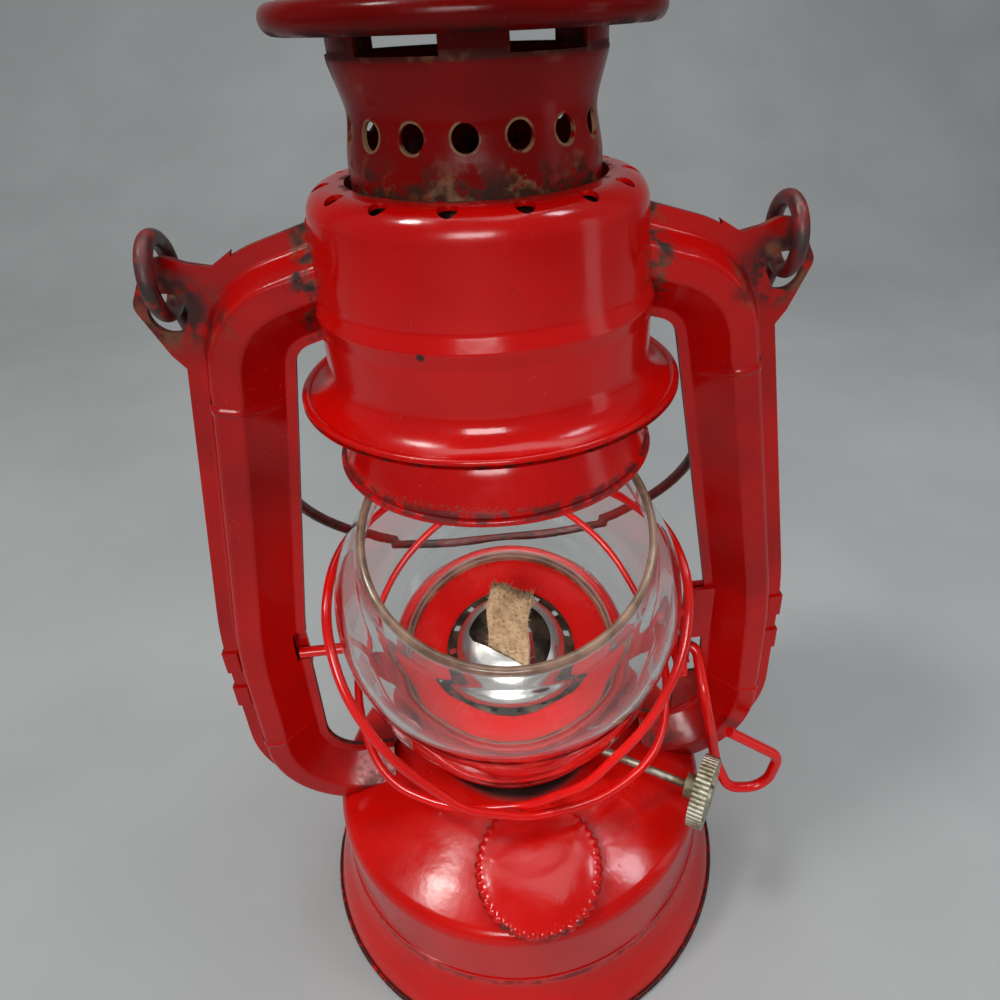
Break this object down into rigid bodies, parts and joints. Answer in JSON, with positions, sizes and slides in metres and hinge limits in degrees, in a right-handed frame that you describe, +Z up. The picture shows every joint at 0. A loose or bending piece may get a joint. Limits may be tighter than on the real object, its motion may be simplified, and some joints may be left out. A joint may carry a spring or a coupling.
{
  "type": "kerosene lantern",
  "caption": "Enamelled tubular kerosene lantern with a tilting glass globe, lifting chimney, side tubes, flat wick burner, screw cap and wire bail.",
  "frame": {"origin": "centre of the base's resting plane, on the lantern's axis", "axes": "+Z up along the chimney, +X through the right side tube, -Y the front with the filler cap"},
  "size_m": [0.1572, 0.1274, 0.2611],
  "materials": {
    "red_enamel": "gloss",
    "burner_tin": "polished",
    "plated_steel": "dull plated",
    "collar_brass": "aged",
    "clear_glass": "clear",
    "wick_cotton": "woven",
    "seal_cork": "matt"
  },
  "bodies": {
    "root": {"base_skirt": "red_enamel", "tank_shell": "red_enamel", "tank_bottom": "red_enamel", "burner_collar": "collar_brass", "filler_neck": "collar_brass", "burner_body": "burner_tin", "wick_tube": "burner_tin", "left_tube_front": "red_enamel", "left_tube_rear": "red_enamel", "right_tube_front": "red_enamel", "right_tube_rear": "red_enamel", "seam_clips": "red_enamel", "left_bracket": "red_enamel", "right_bracket": "red_enamel", "lever_strap": "red_enamel", "drum": "red_enamel", "chimney_spring": "plated_steel"},
    "chimney": {"chimney_tube": "red_enamel", "bell": "red_enamel", "canopy": "red_enamel", "ring_lugs": "red_enamel"},
    "ring": {"lift_ring": "red_enamel"},
    "carriage": {"right_link": "red_enamel"},
    "globe": {"globe_plate": "red_enamel", "air_ring": "burner_tin", "burner_dome": "burner_tin", "glass_globe": "clear_glass", "guard_wire_a": "red_enamel", "guard_wire_b": "red_enamel", "hinge_wire_left": "red_enamel", "hinge_wire_right": "red_enamel"},
    "lever": {"lift_lever": "red_enamel"},
    "bail": {"bail": "red_enamel"},
    "wick": {"wick": "wick_cotton"},
    "wick_wheel": {"wick_shaft": "plated_steel", "wick_knob": "plated_steel", "knob_rivet": "plated_steel"},
    "cap_seal": {"cap_gasket": "seal_cork"},
    "cap": {"filler_cap": "red_enamel"}
  },
  "joints": [
    {"name": "lever_turn", "type": "hinge", "parent": "root", "child": "lever", "pos_m": [0.05, 0, 0.083], "axis": [1, 0, 0], "range_deg": [-84, 0]},
    {"name": "carriage_lift", "type": "slide", "parent": "root", "child": "carriage", "axis": [0, 0, 1], "range_m": [0, 0.006], "deforming": ["chimney_spring"]},
    {"name": "globe_tilt", "type": "hinge", "parent": "carriage", "child": "globe", "pos_m": [0, 0, 0.0965], "axis": [1, 0, 0], "range_deg": [-25.8, 0]},
    {"name": "chimney_lift", "type": "slide", "parent": "carriage", "child": "chimney", "axis": [0, 0, 1], "range_m": [0, 0.008], "deforming": ["chimney_spring"]},
    {"name": "ring_turn", "type": "hinge", "parent": "chimney", "child": "ring", "pos_m": [0, 0, 0.2546], "axis": [1, 0, 0], "range_deg": [0, 150]},
    {"name": "bail_swing", "type": "hinge", "parent": "root", "child": "bail", "pos_m": [0, 0, 0.199], "axis": [1, 0, 0], "range_deg": [0, 270]},
    {"name": "wick_wheel_turn", "type": "hinge", "parent": "root", "child": "wick_wheel", "pos_m": [0.00089, 0.00133, 0.058], "axis": [0.829, -0.5592, 0], "range_deg": [-540, 120]},
    {"name": "wick_slide", "type": "slide", "parent": "root", "child": "wick", "axis": [0, 0, 1], "range_m": [-0.0182, 0.0042]},
    {"name": "cap_turn", "type": "hinge", "parent": "cap_seal", "child": "cap", "pos_m": [0.0015, -0.0415, 0.049], "axis": [0, -0.2756, 0.9613], "range_deg": [0, 540]},
    {"name": "cap_rise", "type": "slide", "parent": "root", "child": "cap_seal", "axis": [0, -0.2756, 0.9613], "range_m": [0, 0.0031]}
  ],
  "couplings": [
    {"joint": "lever_turn", "follows": "carriage_lift", "rad_per_m": -244.35},
    {"joint": "wick_slide", "follows": "wick_wheel_turn", "m_per_rad": 0.00189},
    {"joint": "cap_rise", "follows": "cap_turn", "m_per_rad": 0.00031831}
  ]
}
